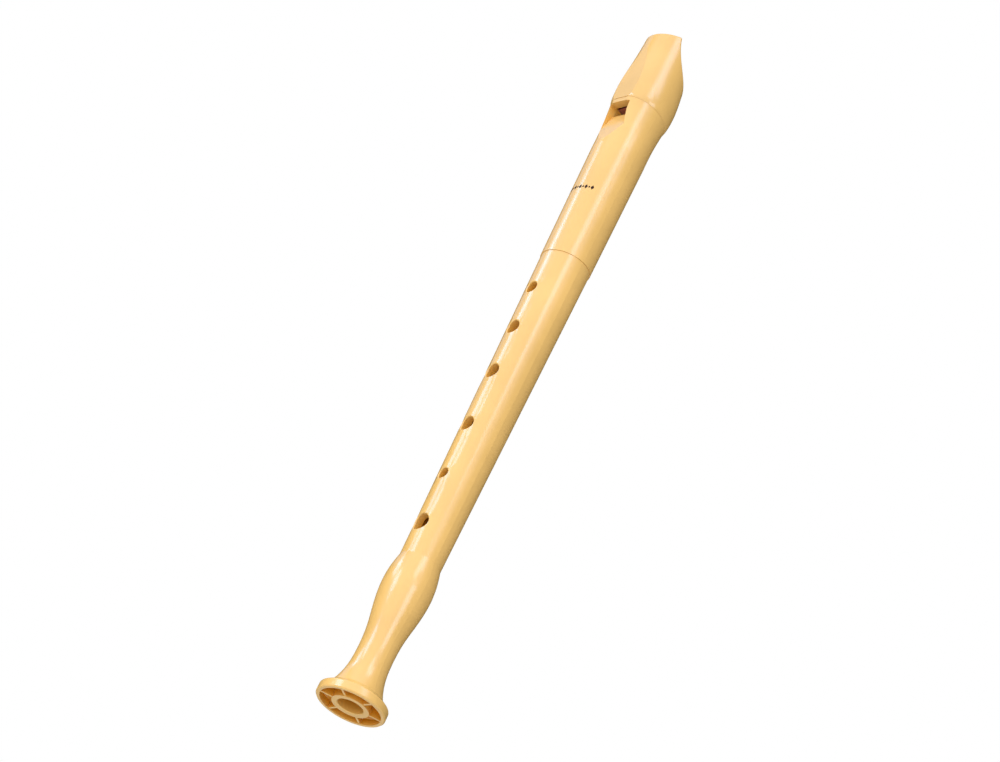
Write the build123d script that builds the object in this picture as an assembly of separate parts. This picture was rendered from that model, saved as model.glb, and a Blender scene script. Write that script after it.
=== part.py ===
from build123d import *
import os
from math import cos, radians, sin

# Soprano recorder in moulded plastic, made of four pieces: the body with its foot, and a head built up from
# a tube, a beak-shaped mouthpiece and the block that closes the bore and forms the windway's floor.
# Millimetres. +Z runs up the bore from the foot to the beak. The origin is the centre of the foot's end face.
# The window and the finger holes face -Y, the front. The thumb hole is in the back, on +Y.

# ---- overall ----
total_length = 326.0
joint_z = 210.1  # where the head's lower end meets the body's shoulder
joint_gap = 0.05  # the two end faces don't quite touch
front = -1.0  # the sign of Y on the window's side

# ---- body and foot ----
shoulder_radius = 10.52  # the body where it meets the head
crease_z = 65.0  # where the bulb of the foot starts
crease_radius = 8.52
foot_radius = 14.15
foot_face_radius = 13.75
foot_chamfer_top = 0.5
foot_band_corner = (14.1, 3.5)  # radius, z of the band's upper edge
foot_flare_start = (10.7, 6.0)  # radius, z
foot_edge_round = 0.6
waist = (7.27, 23.5)  # the thinnest place, between bulb and foot
bulb_outline = [  # radius, z of points up the bulb, between the flare and the crease
    (9.34, 9.1),
    (7.95, 14.2),
    waist,
    (7.72, 32.4),
    (9.0, 40.4),
    (10.04, 48.5),
    (10.05, 56.2),
    (9.26, 61.7),
]
bulb_radius = 10.17  # its widest
bore_radius_foot = 5.25
bore_radius_top = 6.4
bore_straight = 8.0  # cylindrical stretch of the bore in the foot, which a stand's peg enters
bore_edge_round = 0.3
body_edge_round = 0.06

# ---- tenon and socket ----
tenon_radius = 8.55
tenon_length = 22.0
tenon_lead_in = 0.9
tenon_relief = 0.3  # depth of the groove at the tenon's root
relief_top = 1.0  # the groove's height, and above it half as much of slope
socket_clearance = 0.05
socket_extra_depth = 1.0
socket_chamfer = 0.5

# ---- hollow underside of the foot ----
pocket_inner_radius = 7.65
pocket_outer_radius = 12.5
pocket_depth = 8.0
pocket_wall = [(12.5, 2.8), (9.5, 5.2), (8.2, 8.0)]  # radius, z up the outer wall
rib_count = 6
rib_thickness = 0.9
rib_recess = 0.3

# ---- holes: height above the foot and diameter ----
finger_holes = [(191.9, 5.2), (172.2, 6.1), (150.7, 6.5), (125.3, 6.3), (101.6, 4.7), (79.0, 7.4)]
little_finger_hole = (53.5, 5.2)
little_finger_turn = 50.0  # degrees round from the front, towards -X
thumb_hole = (199.5, 5.6)
hole_rim_round = 0.4

# ---- head tube ----
head_radius_low = 10.78
head_radius_high = 11.42
flare_base_z = 266.0  # the plain cone ends here and the flare up to the mouthpiece is blended on
head_bore_radius = 6.8
seam_z = 287.7  # the seam with the mouthpiece, on the bore's axis
seam_tilt = 8.0  # degrees, higher at the front
seam_gap = 0.1
flare_sections = [  # z, radius, tilt in degrees
    (270.0, 11.38, 0.0),
    (274.5, 11.43, 0.0),
    (279.5, 11.66, 2.5),
    (284.0, 12.02, 6.0),
]
seam_radius = 12.38
band_front = 11.45  # the flare is planed off here above the window
spigot_radius = 10.0  # the mouthpiece is pushed on to this
spigot_clearance = 0.05
spigot_top = 300.0
head_edge_round = 0.06

# ---- window, ramp and windway ----
window_top = 287.4
labium_z = 283.3
labium_front = 7.5
labium_thickness = 0.3
window_half_width = 5.0
window_half_width_outside = 6.15
ramp_slope = 0.25  # rise over run, from the labium's edge out to the surface
ramp_length = 19.3
ramp_half_width_low = 9.6
scoop_length = 11.3  # of the flat under the labium
window_back = 3.0  # the window's cutters reach this near to the bore's axis
windway_roof = 8.0
windway_floor = 7.0

# ---- block ----
block_clearance = 0.05
block_end_gap = 0.1
block_bottom = 287.5
block_top = 303.0
block_pocket_radius = 5.2
block_pocket_depth = 12.0

# ---- mouthpiece ----
mouthpiece_sections = [  # z, radius, tilt in degrees, distance of the middle behind the axis
    (290.0, 12.95, 7.5, 0.05),
    (293.2, 13.17, 6.5, 0.2),
    (297.5, 13.17, 5.0, 0.25),
    (303.0, 12.75, 3.0, 0.2),
    (308.5, 12.14, 1.5, 0.15),
    (315.0, 11.53, 0.5, 0.15),
    (321.5, 11.1, 0.0, 0.15),
    (328.0, 10.68, 0.0, 0.15),
    (334.5, 10.3, 0.0, 0.15),
]
facet_low = (11.62, 290.0)  # distance in front of the axis, z
facet_high = (11.2, 318.0)
beak_hollow_centre = (20.9, 329.0)  # y and z of the axis of the round hollow under the beak
beak_hollow_radius = 24.6
tip_underside_front = 3.5  # the tip's highest edge
tip_slope = 0.2
beak_round = 0.7  # round the tip and along the hollow

far = 40.0  # larger than the object's radius, for cutting tools


def turned(outline):
    """A solid of revolution about Z from a closed outline in the XZ plane."""
    return revolve(Plane.XZ * make_face(outline), Axis.Z)


def polygon_prism(points, plane, depth):
    """A prism of a polygon drawn on a plane, reaching the same depth to both sides of it."""
    return extrude(plane * make_face(Polyline(*points, close=True)), amount=depth, both=True)


def tilted_disc(z, radius, tilt, shift=0.0):
    """A disc across the bore, its front edge raised by tilt degrees and its middle moved to the back."""
    normal = Vector(0, sin(radians(tilt)), cos(radians(tilt)))
    return Plane(origin=(0, shift, z), x_dir=(1, 0, 0), z_dir=normal) * Circle(radius)


def blended(sections):
    return loft([tilted_disc(*section) for section in sections])


def radial_hole(z, diameter, degrees_from_front):
    """A drill along a radius of the tube, at an angle round from the front towards -X."""
    angle = radians(degrees_from_front)
    outward = Vector(-sin(angle), front * cos(angle), 0)
    return extrude(Plane(origin=(0, 0, z), z_dir=outward) * Circle(diameter / 2), amount=far)


def rim_edges(solid, z, degrees_from_front, surface_radius):
    """The edge of one hole on the outside of the tube."""
    angle = radians(degrees_from_front)
    middle = Vector(-sin(angle), front * cos(angle), 0) * surface_radius + Vector(0, 0, z)

    def is_rim(edge):
        place = edge.position_at(0.5)
        from_axis = Vector(place.X, place.Y, 0).length
        return from_axis > 0.8 * surface_radius and (edge.center(CenterOf.BOUNDING_BOX) - middle).length < 2.5

    return solid.edges().filter_by(is_rim)


def body_radius(z):
    """Outside radius of the body's plain cone."""
    return crease_radius + (shoulder_radius - crease_radius) * (z - crease_z) / (joint_z - crease_z)


def make_body():
    tenon_top = joint_z + tenon_length
    relief_radius = tenon_radius - tenon_relief
    foot = Polyline(
        (0, 0),
        (foot_face_radius, 0),
        (foot_radius, foot_chamfer_top),
        foot_band_corner,
        foot_flare_start,
    )
    bulb = Spline(foot_flare_start, *bulb_outline, (crease_radius, crease_z))
    upper = Polyline(
        (crease_radius, crease_z),
        (shoulder_radius, joint_z),
        (relief_radius, joint_z),
        (relief_radius, joint_z + relief_top),
        (tenon_radius, joint_z + 1.5 * relief_top),
        (tenon_radius, tenon_top - tenon_lead_in),
        (tenon_radius - 0.5 * tenon_lead_in, tenon_top),
        (0, tenon_top),
        (0, 0),
    )
    outline = make_face(foot + bulb + upper)
    for corner, size in ((foot_band_corner, foot_edge_round), ((shoulder_radius, joint_z), body_edge_round)):
        vertex = outline.vertices().sort_by_distance((*corner, 0))[0]
        outline = fillet(vertex, size)
    solid = revolve(Plane.XZ * outline, Axis.Z)

    bore = Polyline(
        (0, -1),
        (bore_radius_foot + bore_edge_round + 1, -1),
        (bore_radius_foot, bore_edge_round),
        (bore_radius_foot, bore_straight),
        (bore_radius_top, tenon_top),
        (bore_radius_top, tenon_top + 1),
        (0, tenon_top + 1),
        close=True,
    )
    solid -= turned(bore)
    solid -= make_foot_pockets()

    holes = [(z, diameter, 0.0) for z, diameter in finger_holes]
    holes.append((*thumb_hole, 180.0))
    holes.append((*little_finger_hole, little_finger_turn))
    for z, diameter, turn in holes:
        solid -= radial_hole(z, diameter, turn)
    rims = []
    for z, _, turn in holes:
        surface = body_radius(z) if z > crease_z else bulb_radius
        rims += rim_edges(solid, z, turn, surface)
    return fillet(rims, hole_rim_round)


def make_foot_pockets():
    """The ring-shaped hollow under the foot, divided by thin ribs that stop short of the end face."""
    section = Polyline(
        (pocket_inner_radius, -1),
        (pocket_outer_radius, -1),
        *pocket_wall,
        (pocket_inner_radius, pocket_depth),
        close=True,
    )
    ring = turned(section)
    for i in range(rib_count):
        rib = Box(foot_radius, rib_thickness, pocket_depth, align=(Align.MIN, Align.CENTER, Align.MIN))
        ring -= Rot(0, 0, i * 360 / rib_count) * Pos(0, 0, rib_recess) * rib
    return ring


def head_tube_radius(z):
    """Outside radius of the head's plain cone."""
    low = joint_z + joint_gap
    return head_radius_low + (head_radius_high - head_radius_low) * (z - low) / (flare_base_z - low)


def make_head_tube():
    low = joint_z + joint_gap
    socket_radius = tenon_radius + socket_clearance
    socket_top = joint_z + tenon_length + socket_extra_depth
    cone = Polyline(
        (0, low),
        (head_radius_low, low),
        (head_tube_radius(flare_base_z), flare_base_z),
        (0, flare_base_z),
        close=True,
    )
    outline = make_face(cone)
    outline = fillet(outline.vertices().sort_by_distance((head_radius_low, low, 0))[0], head_edge_round)
    solid = revolve(Plane.XZ * outline, Axis.Z)
    base = (flare_base_z, head_tube_radius(flare_base_z), 0.0)
    solid += blended([base, *flare_sections, (seam_z, seam_radius, seam_tilt)])
    above_band = Pos(0, front * (band_front + far / 2), window_top + far / 2) * Box(far, far, far)
    solid -= above_band
    solid += Pos(0, 0, flare_base_z) * Cylinder(
        spigot_radius, spigot_top - flare_base_z, align=(Align.CENTER, Align.CENTER, Align.MIN)
    )

    bore = Polyline(
        (0, low - 1),
        (socket_radius + socket_chamfer, low - 1),
        (socket_radius + socket_chamfer, low),
        (socket_radius, low + socket_chamfer),
        (socket_radius, socket_top),
        (head_bore_radius, socket_top),
        (head_bore_radius, spigot_top + 1),
        (0, spigot_top + 1),
        close=True,
    )
    solid -= turned(bore)
    solid -= windway_box(window_top, spigot_top + 1, windway_roof, window_half_width)
    solid -= make_window_cutter()
    solid -= make_ramp_cutter()
    return solid - make_scoop_cutter()


def windway_box(low, high, top, half_width):
    """A channel over the bore, from its axis out to a distance in front of it."""
    channel = Box(2 * half_width, top, high - low, align=(Align.CENTER, Align.MAX, Align.MIN))
    return Pos(0, 0, low) * channel


def make_window_cutter():
    """The opening between the windway's end and the labium. Its side walls lean outwards."""
    outside = band_front + 2
    section = [
        (-window_half_width_outside, front * outside),
        (-window_half_width, front * labium_front),
        (-window_half_width, front * window_back),
        (window_half_width, front * window_back),
        (window_half_width, front * labium_front),
        (window_half_width_outside, front * outside),
    ]
    plane = Plane(origin=(0, 0, labium_z), x_dir=(1, 0, 0), z_dir=(0, 0, 1))
    return extrude(plane * make_face(Polyline(*section, close=True)), amount=window_top - labium_z)


def make_ramp_cutter():
    """The slope that runs from the labium out to the surface, and widens on the way."""

    def end(z, depth, half_width, outside, half_width_outside):
        plane = Plane(origin=(0, 0, z), x_dir=(1, 0, 0), z_dir=(0, 0, 1))
        corners = [
            (-half_width, front * depth),
            (half_width, front * depth),
            (half_width_outside, front * outside),
            (-half_width_outside, front * outside),
        ]
        return plane * make_face(Polyline(*corners, close=True))

    low_depth = labium_front + ramp_slope * ramp_length
    high = end(labium_z, labium_front, window_half_width, band_front + 2, window_half_width_outside)
    low_width = ramp_half_width_low
    low = end(labium_z - ramp_length, low_depth, low_width, low_depth + 2, low_width + 0.2)
    return loft([low, high], ruled=True)


def make_scoop_cutter():
    """The flat under the labium that leaves its edge thin."""
    under = labium_front - labium_thickness
    section = [
        (front * under, labium_z),
        (front * (head_bore_radius - labium_thickness), labium_z - scoop_length),
        (front * window_back, labium_z - scoop_length),
        (front * window_back, labium_z),
    ]
    return polygon_prism(section, Plane.YZ, window_half_width)


def make_block():
    height = block_top - block_bottom
    base = Pos(0, 0, block_bottom)
    plug = Cylinder(head_bore_radius - block_clearance, height, align=(Align.CENTER, Align.CENTER, Align.MIN))
    land = windway_box(0, height, windway_floor, window_half_width - block_clearance)
    pocket = Cylinder(block_pocket_radius, block_pocket_depth, align=(Align.CENTER, Align.CENTER, Align.MIN))
    return base * (plug + land - pocket)


def make_mouthpiece():
    seam = (seam_z + seam_gap, seam_radius, seam_tilt)
    solid = blended([seam, *mouthpiece_sections])
    solid -= polygon_prism(facet_section(), Plane.YZ, far)
    hollow_y, hollow_z = beak_hollow_centre
    solid -= Pos(0, hollow_y, hollow_z) * Rot(0, 90, 0) * Cylinder(beak_hollow_radius, far)
    solid -= polygon_prism(tip_section(), Plane.YZ, far)
    solid = fillet(solid.edges().filter_by(is_beak_edge), beak_round)
    return solid - make_mouthpiece_cavity()


def is_beak_edge(edge):
    """Whether an edge bounds the tip's end face or the hollow under the beak."""
    place = edge.position_at(0.5)
    hollow_y, hollow_z = beak_hollow_centre
    on_hollow = abs(Vector(0, place.Y - hollow_y, place.Z - hollow_z).length - beak_hollow_radius) < 0.05
    return on_hollow or edge.center().Z > total_length - 2


def facet_section():
    """Everything in front of the flat on the mouthpiece, in the YZ plane."""
    (front_low, z_low), (front_high, z_high) = facet_low, facet_high
    slope = (front_high - front_low) / (z_high - z_low)
    z_bottom, z_top = seam_z - 5, total_length + 5
    return [
        (front * (front_low + slope * (z_bottom - z_low)), z_bottom),
        (front * (front_low + slope * (z_top - z_low)), z_top),
        (front * far, z_top),
        (front * far, z_bottom),
    ]


def tip_section():
    """Everything beyond the tip's end face, which slopes down a little towards the front."""
    fall = tip_slope * (far - tip_underside_front)
    rise = tip_slope * (far + tip_underside_front)
    return [
        (front * far, total_length - fall),
        (far, total_length + rise),
        (far, total_length + far),
        (front * far, total_length + far),
    ]


def make_mouthpiece_cavity():
    """The socket for the tube's spigot, the room for the block's end, and the windway through to the tip."""
    room_top = block_top + block_end_gap
    socket_top = spigot_top + block_end_gap
    socket = Cylinder(spigot_radius + spigot_clearance, far, align=(Align.CENTER, Align.CENTER, Align.MAX))
    room = Cylinder(head_bore_radius, room_top - spigot_top, align=(Align.CENTER, Align.CENTER, Align.MIN))
    channel = Box(
        2 * window_half_width,
        windway_roof - windway_floor,
        total_length + 5 - spigot_top,
        align=(Align.CENTER, Align.MAX, Align.MIN),
    )
    cavity = Pos(0, 0, socket_top) * socket + Pos(0, 0, spigot_top) * room
    cavity += windway_box(spigot_top, room_top, windway_floor, window_half_width)
    return cavity + Pos(0, front * windway_floor, spigot_top) * channel


pieces = {
    "body": make_body(),
    "head_tube": make_head_tube(),
    "block": make_block(),
    "mouthpiece": make_mouthpiece(),
}
os.makedirs("parts", exist_ok=True)
for name, piece in pieces.items():
    export_step(piece, f"parts/{name}.step")
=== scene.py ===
from math import cos, pi, radians, sin

import bpy
from mathutils import Matrix, Vector


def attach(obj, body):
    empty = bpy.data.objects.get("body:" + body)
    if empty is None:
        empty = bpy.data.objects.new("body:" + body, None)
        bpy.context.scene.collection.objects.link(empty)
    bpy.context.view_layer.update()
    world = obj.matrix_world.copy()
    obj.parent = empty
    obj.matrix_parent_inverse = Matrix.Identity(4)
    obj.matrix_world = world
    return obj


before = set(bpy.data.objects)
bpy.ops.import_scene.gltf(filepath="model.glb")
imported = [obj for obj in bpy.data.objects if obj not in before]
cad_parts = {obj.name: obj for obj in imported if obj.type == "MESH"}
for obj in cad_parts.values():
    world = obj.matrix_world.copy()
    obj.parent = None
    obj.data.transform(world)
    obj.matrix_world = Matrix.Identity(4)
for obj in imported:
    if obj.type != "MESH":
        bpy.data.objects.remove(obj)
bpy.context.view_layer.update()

# ---- camera ----
camera_azimuth = 57.14  # degrees, 0 looks along +Y
camera_elevation = -28.28
camera_roll = 26.09
camera_distance = 1.4388
camera_aim = Vector((-0.0017, -0.0027, 0.1508))
camera_lens = 132.9
sensor_width = 36.0

# ---- the room: places are azimuth and elevation in degrees, seen from the object ----
bright_side = (29, -30)
room_bright = 0.80  # strength of its light on the bright side, and opposite
room_dark = 0.18
room_tint = (0.9, 0.6, 0.2)  # in reflections only
broad_side = (30, 28)
broad_light = 1.1
broad_full, broad_end = 36, 66  # degrees from its middle, where it starts to fade and where it ends
broad_tint = (0.3, 0.5, 1.4)
white = (1, 1, 1)

# ---- lights that stand about a metre away ----
strip_tint = (0.15, 0.56, 1.0)
panel_tint = (0.2, 0.45, 1.0)
pale_tint = (0.55, 0.7, 1.0)
strip_layers = (0.6, 1.0, 1.4)  # widths of the layers that a fading strip is made of
layer_gap = 0.02  # metres from each layer to the one behind it

# ---- materials ----
cream = (0.80, 0.50, 0.163)
# painted shade and warm bounce light: the colour that enclosed parts of holes, pockets and the window turn
# to
cream_painted_hollow_shade = (0.75, 0.33, 0.016)
cream_polish = 0.16  # roughness of clean plastic
cream_hollow_reach = 0.012  # metres, how near the walls of a hollow are for its painted shade
brown = (0.50, 0.15, 0.085)
# painted shade: the block's colour where the window and bore enclose it
brown_painted_hollow_shade = (0.12, 0.02, 0.01)
brown_polish = 0.4
brown_hollow_reach = 0.002
seam_reach = 0.0003  # metres, a groove with walls this near keeps the plain colour, without the painted hollow shade
hollow_full, hollow_none = 0.30, 0.74  # openness where the painted hollow shade is full, and where it ends
seam_shut, seam_open = 0.5, 0.9  # openness where a seam counts as a seam, and where it doesn't
openness_samples = 8
plastic_ior = 1.5
mottling = (45, 3)  # each pattern's blotches to the metre, and its detail
polish_marks = (150, 4)
wear = (60, 2)
scratching = (900, 2)
graining = (500, 5)
scratch_stretch = (1, 1, 0.03)  # scratches run along the tube
scratch_depth = 0.02  # the most roughness that a scratch adds
polish_least, polish_most = 0.97, 1.05  # how far roughness strays from its mean
bump_strength = 0.012
bump_height = 0.00002  # metres
ink = (0.03, 0.008, 0.004)
ink_roughness = 0.6
ink_shine = 0.15
floor_colour = (0.85, 0.85, 0.84)
floor_roughness = 0.8
floor_height = -2.5
floor_half_width = 6.0

# ---- printed ornament on the front of the head, in millimetres ----
ornament_z = 242.4  # height of its middle
ornament_reach = 36.0  # degrees round from the front to its ends
lozenge_count = 11
lozenge_width = 1.5
lozenge_height = 2.1
small_lozenge = 0.55  # every second lozenge is this much of a large one
points_per_side = 4  # of a lozenge
ink_thickness = 0.03
ink_root = 0.1  # how far it reaches under the tube's surface
head_low_z, head_high_z = 210.15, 266.0
head_radius_low, head_radius_high = 10.78, 11.42  # the head tube's outside at those two heights


def direction(azimuth, elevation):
    """The unit vector from the object towards a place seen at that azimuth and elevation."""
    a, e = radians(azimuth), radians(elevation)
    return Vector((sin(a) * cos(e), -cos(a) * cos(e), sin(e)))


def make_camera():
    back = direction(camera_azimuth, camera_elevation)
    level = Vector((cos(radians(camera_azimuth)), sin(radians(camera_azimuth)), 0))
    upright = back.cross(level)
    roll = radians(camera_roll)
    right = cos(roll) * level + sin(roll) * upright
    up = cos(roll) * upright - sin(roll) * level
    data = bpy.data.cameras.new("camera")
    data.lens = camera_lens
    data.sensor_width = sensor_width
    data.clip_start = 0.05
    data.clip_end = 50
    camera = bpy.data.objects.new("camera", data)
    place = camera_aim + back * camera_distance
    camera.matrix_world = Matrix.Translation(place) @ Matrix((right, up, back)).transposed().to_4x4()
    bpy.context.collection.objects.link(camera)
    bpy.context.scene.camera = camera


def softbox(name, low_end, high_end, width, radiance, colour=white, lights=True, gloss=True):
    """A rectangular light whose long side runs between two points and whose face looks at the object.

    lights says whether it lights surfaces, and gloss whether it shows in their reflections."""
    low_end, high_end = Vector(low_end), Vector(high_end)
    middle = (low_end + high_end) / 2
    along = (high_end - low_end).normalized()
    back = (middle - camera_aim).normalized()
    across = along.cross(back).normalized()
    back = across.cross(along)
    data = bpy.data.lights.new(name, "AREA")
    data.shape = "RECTANGLE"
    data.size = width
    data.size_y = (high_end - low_end).length
    data.energy = radiance * data.size * data.size_y * pi
    data.color = colour
    light = bpy.data.objects.new(name, data)
    light.matrix_world = Matrix.Translation(middle) @ Matrix((across, along, back)).transposed().to_4x4()
    light.visible_camera = False
    light.visible_diffuse = lights
    light.visible_glossy = gloss
    bpy.context.collection.objects.link(light)
    return light


def beside(azimuth, height, away=1.0):
    """A point at a level distance from the bore's axis, at a height above the foot."""
    a = radians(azimuth)
    return Vector((away * sin(a), -away * cos(a), height))


def streak(name, low_end, high_end, width, radiance, colour):
    """A softbox seen in reflections only."""
    return softbox(name, low_end, high_end, width, radiance, colour, lights=False)


def fading_streak(name, low_end, high_end, width, radiance, colour):
    """A strip seen in reflections only, whose brightness fades towards its long sides."""
    for i, share in enumerate(strip_layers):
        layer = streak(f"{name}_{i}", low_end, high_end, width * share, radiance / len(strip_layers), colour)
        layer.location += layer_gap * i * (layer.location - camera_aim).normalized()


def make_lights():
    """Soft lights from the front, the left and below, and the strips that draw streaks along the tube."""
    softbox("key", beside(52, -0.75, 1.4), beside(52, 0.05, 1.4), width=0.8, radiance=1.55, gloss=False)
    softbox("fill", beside(-15, 0.40), beside(-15, 0.86), width=0.18, radiance=3.0, gloss=False)
    softbox("below", (-0.3, 0, -1.0), (0.3, 0, -1.0), width=0.6, radiance=1.3, gloss=False)
    streak("long_strip_low", beside(-2, 0.30), beside(-14, 0.60), 0.30, 7.5, strip_tint)
    streak("long_strip_middle", beside(-24, 0.60), beside(-44, 0.71), 0.26, 6.4, strip_tint)
    streak("long_strip_high", beside(-44, 0.71), beside(-43, 0.88), 0.34, 4.4, strip_tint)
    streak("side_panel", beside(-70, 0.66), beside(-70, 1.7), 0.7, 0.9, panel_tint)
    fading_streak("upper_strip_low", beside(57, 0.64), beside(68, 0.90), 0.32, 5.0, pale_tint)
    fading_streak("upper_strip_high", beside(70, 0.90), beside(75, 1.5), 0.55, 5.0, pale_tint)
    fading_streak("lower_strip", beside(77, 0.05), beside(77, 0.48), 0.36, 5.5, pale_tint)


def make_world():
    """White to the camera. The object sees a room that darkens towards one side, and a broad soft light."""
    world = bpy.data.worlds.new("studio")
    world.use_nodes = True
    nodes, links = world.node_tree.nodes, world.node_tree.links
    nodes.clear()
    place = nodes.new("ShaderNodeTexCoord")
    path = nodes.new("ShaderNodeLightPath")

    def glow(side, low, high, from_dark, to_bright, smooth, tint_in_gloss):
        """Light that rises from one strength to another as the view turns towards a side.

        low and high are the cosines of the angles from that side's middle where the rise starts and ends."""
        facing = nodes.new("ShaderNodeVectorMath")
        facing.operation = "DOT_PRODUCT"
        facing.inputs[1].default_value = direction(*side)
        links.new(place.outputs["Generated"], facing.inputs[0])
        level = nodes.new("ShaderNodeMapRange")
        level.interpolation_type = "SMOOTHSTEP" if smooth else "LINEAR"
        level.inputs["From Min"].default_value = low
        level.inputs["From Max"].default_value = high
        level.inputs["To Min"].default_value = from_dark
        level.inputs["To Max"].default_value = to_bright
        links.new(facing.outputs["Value"], level.inputs["Value"])
        tint = nodes.new("ShaderNodeMix")
        tint.data_type = "RGBA"
        tint.inputs[6].default_value = (*white, 1)
        tint.inputs[7].default_value = (*tint_in_gloss, 1)
        links.new(path.outputs["Is Glossy Ray"], tint.inputs[0])
        shown = nodes.new("ShaderNodeBackground")
        links.new(tint.outputs[2], shown.inputs["Color"])
        links.new(level.outputs["Result"], shown.inputs["Strength"])
        return shown.outputs[0]

    walls = glow(bright_side, -1, 1, room_dark, room_bright, False, room_tint)
    full, end = cos(radians(broad_full)), cos(radians(broad_end))
    broad = glow(broad_side, end, full, 0, broad_light, True, broad_tint)
    room = nodes.new("ShaderNodeAddShader")
    links.new(walls, room.inputs[0])
    links.new(broad, room.inputs[1])
    backdrop = nodes.new("ShaderNodeBackground")
    backdrop.inputs["Color"].default_value = (*white, 1)
    mix = nodes.new("ShaderNodeMixShader")
    links.new(path.outputs["Is Camera Ray"], mix.inputs["Fac"])
    links.new(room.outputs[0], mix.inputs[1])
    links.new(backdrop.outputs[0], mix.inputs[2])
    out = nodes.new("ShaderNodeOutputWorld")
    links.new(mix.outputs[0], out.inputs["Surface"])
    bpy.context.scene.world = world
    bpy.context.scene.view_settings.view_transform = "Standard"


def plastic(name, colour, painted_hollow_shade, polish, hollow_reach):
    """Moulded plastic with painted deeper, warmer shade inside holes, faint mottling, lengthwise scratches
    and wear.
    """
    material = bpy.data.materials.new(name)
    material.use_nodes = True
    nodes, links = material.node_tree.nodes, material.node_tree.links
    shader = nodes["Principled BSDF"]
    shader.inputs["IOR"].default_value = plastic_ior

    def noise(scale, detail, stretch=(1, 1, 1)):
        """A pattern of so many blotches to the metre."""
        place = nodes.new("ShaderNodeTexCoord")
        stretched = nodes.new("ShaderNodeMapping")
        stretched.inputs["Scale"].default_value = stretch
        links.new(place.outputs["Object"], stretched.inputs["Vector"])
        pattern = nodes.new("ShaderNodeTexNoise")
        pattern.inputs["Scale"].default_value = scale
        pattern.inputs["Detail"].default_value = detail
        links.new(stretched.outputs["Vector"], pattern.inputs["Vector"])
        return pattern.outputs[0]

    def ranged(value, low, high, to_low, to_high):
        """A value moved from one range to another, and kept inside it."""
        level = nodes.new("ShaderNodeMapRange")
        level.inputs["From Min"].default_value = low
        level.inputs["From Max"].default_value = high
        level.inputs["To Min"].default_value = to_low
        level.inputs["To Max"].default_value = to_high
        links.new(value, level.inputs["Value"])
        return level.outputs["Result"]

    def mixed(factor, first, second):
        """A blend of two colours, each a tuple or a node's output."""
        mix = nodes.new("ShaderNodeMix")
        mix.data_type = "RGBA"
        links.new(factor, mix.inputs["Factor"])
        for socket, value in (("A", first), ("B", second)):
            target = [i for i in mix.inputs if i.name == socket and i.type == "RGBA"][0]
            if isinstance(value, tuple):
                target.default_value = (*value, 1)
            else:
                links.new(value, target)
        return [o for o in mix.outputs if o.type == "RGBA"][0]

    def openness(reach):
        """1 on an open surface, less where other surfaces stand within reach."""
        occlusion = nodes.new("ShaderNodeAmbientOcclusion")
        occlusion.samples = openness_samples
        occlusion.inputs["Distance"].default_value = reach
        return occlusion.outputs["AO"]

    paler = tuple(min(1, c * 1.05 + 0.006) for c in colour)
    deeper = tuple(c * 0.95 for c in colour)
    mottled = mixed(ranged(noise(*mottling), 0.3, 0.7, 0, 1), deeper, paler)
    # painted shade and bounce light: where other surfaces stand near, the base colour turns to the hollow
    # colour, but not in thin seams
    hollow = nodes.new("ShaderNodeMath")
    hollow.operation = "MULTIPLY"
    links.new(ranged(openness(hollow_reach), hollow_full, hollow_none, 1, 0), hollow.inputs[0])
    links.new(ranged(openness(seam_reach), seam_shut, seam_open, 0, 1), hollow.inputs[1])
    links.new(mixed(hollow.outputs[0], mottled, painted_hollow_shade), shader.inputs["Base Color"])

    scratches = noise(*scratching, scratch_stretch)
    worn = nodes.new("ShaderNodeMath")
    worn.operation = "MULTIPLY"
    links.new(ranged(scratches, 0.55, 0.8, 0, scratch_depth), worn.inputs[0])
    links.new(ranged(noise(*wear), 0.4, 0.7, 0.2, 1), worn.inputs[1])
    rough = nodes.new("ShaderNodeMath")
    polished = ranged(noise(*polish_marks), 0.3, 0.7, polish * polish_least, polish * polish_most)
    links.new(polished, rough.inputs[0])
    links.new(worn.outputs[0], rough.inputs[1])
    links.new(rough.outputs[0], shader.inputs["Roughness"])

    bump = nodes.new("ShaderNodeBump")
    bump.inputs["Strength"].default_value = bump_strength
    bump.inputs["Distance"].default_value = bump_height
    links.new(noise(*graining), bump.inputs["Height"])
    links.new(bump.outputs["Normal"], shader.inputs["Normal"])
    return material


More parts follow.
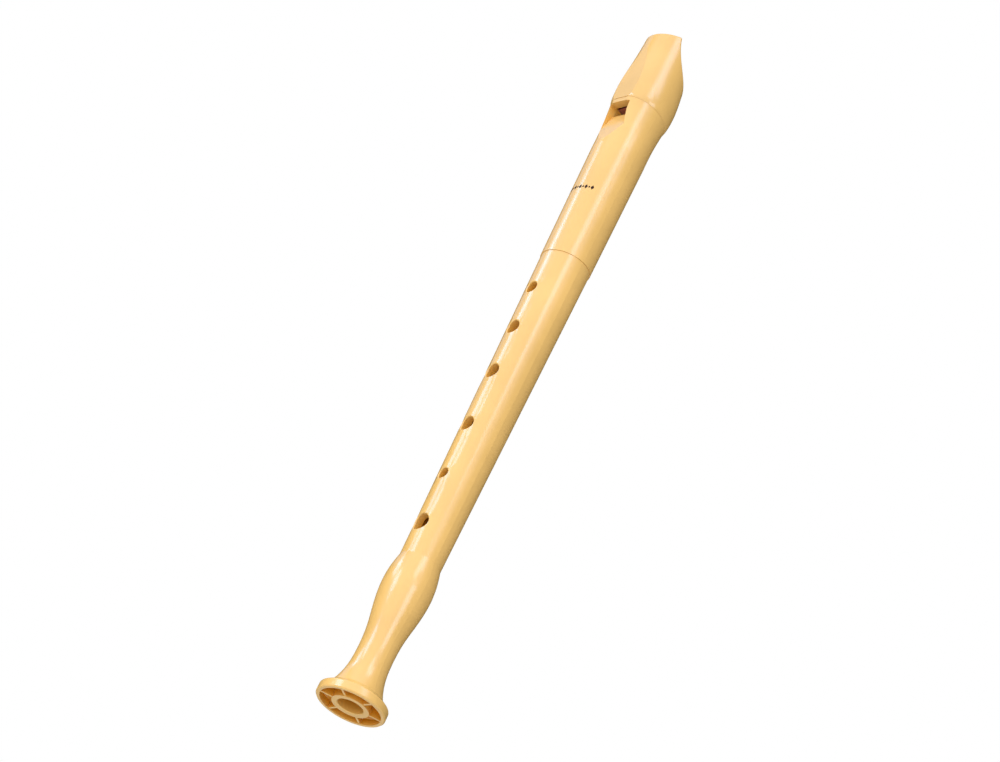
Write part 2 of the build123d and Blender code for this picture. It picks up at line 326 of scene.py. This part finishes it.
def make_ornament():
    """A row of small lozenges round the front of the head, curved with the tube."""
    vertices, faces = [], []
    for i in range(lozenge_count):
        turn = radians(ornament_reach * (2 * i / (lozenge_count - 1) - 1))
        size = 1.0 if i % 2 == 0 else small_lozenge
        half_width, half_height = size * lozenge_width / 2, size * lozenge_height / 2
        first, count = len(vertices), 4 * points_per_side
        for lift in (ink_thickness, -ink_root):
            for k in range(count):
                step = k / points_per_side  # goes from 0 to 4 round the lozenge, from its upper end
                across = abs((step + 1) % 4 - 2) - 1
                along = abs(step % 4 - 2) - 1
                z = ornament_z + half_height * along
                cone = (head_radius_high - head_radius_low) * (z - head_low_z) / (head_high_z - head_low_z)
                radius = head_radius_low + cone + lift
                angle = turn + half_width * across / radius
                vertices.append((radius * sin(angle) / 1000, -radius * cos(angle) / 1000, z / 1000))
        top = list(range(first, first + count))
        faces.append(top)
        faces.append([v + count for v in reversed(top)])
        for k in range(count):
            following = top[k - count + 1]
            faces.append((top[k], top[k] + count, following + count, following))
    mesh = bpy.data.meshes.new("printed_ornament")
    mesh.from_pydata(vertices, [], faces)
    mesh.validate()
    ornament = bpy.data.objects.new("printed_ornament", mesh)
    bpy.context.collection.objects.link(ornament)
    material = bpy.data.materials.new("ink")
    material.use_nodes = True
    shader = material.node_tree.nodes["Principled BSDF"]
    shader.inputs["Base Color"].default_value = (*ink, 1)
    shader.inputs["Roughness"].default_value = ink_roughness
    shader.inputs["Specular IOR Level"].default_value = ink_shine
    mesh.materials.append(material)
    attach(ornament, "head")


def make_floor():
    """A pale floor far below the object, out of view."""
    half, height = floor_half_width, floor_height
    mesh = bpy.data.meshes.new("floor")
    corners = [(-half, -half, height), (half, -half, height), (half, half, height), (-half, half, height)]
    mesh.from_pydata(corners, [], [(0, 1, 2, 3)])
    floor = bpy.data.objects.new("floor", mesh)
    bpy.context.collection.objects.link(floor)
    material = bpy.data.materials.new("pale_floor")
    material.use_nodes = True
    shader = material.node_tree.nodes["Principled BSDF"]
    shader.inputs["Base Color"].default_value = (*floor_colour, 1)
    shader.inputs["Roughness"].default_value = floor_roughness
    floor.data.materials.append(material)


make_camera()
make_lights()
make_world()
tube_plastic = plastic("cream_plastic", cream, cream_painted_hollow_shade, cream_polish, cream_hollow_reach)
plug_plastic = plastic("block_plastic", brown, brown_painted_hollow_shade, brown_polish, brown_hollow_reach)
for name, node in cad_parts.items():
    node.data.materials.clear()
    node.data.materials.append(plug_plastic if name == "block" else tube_plastic)
make_ornament()
make_floor()
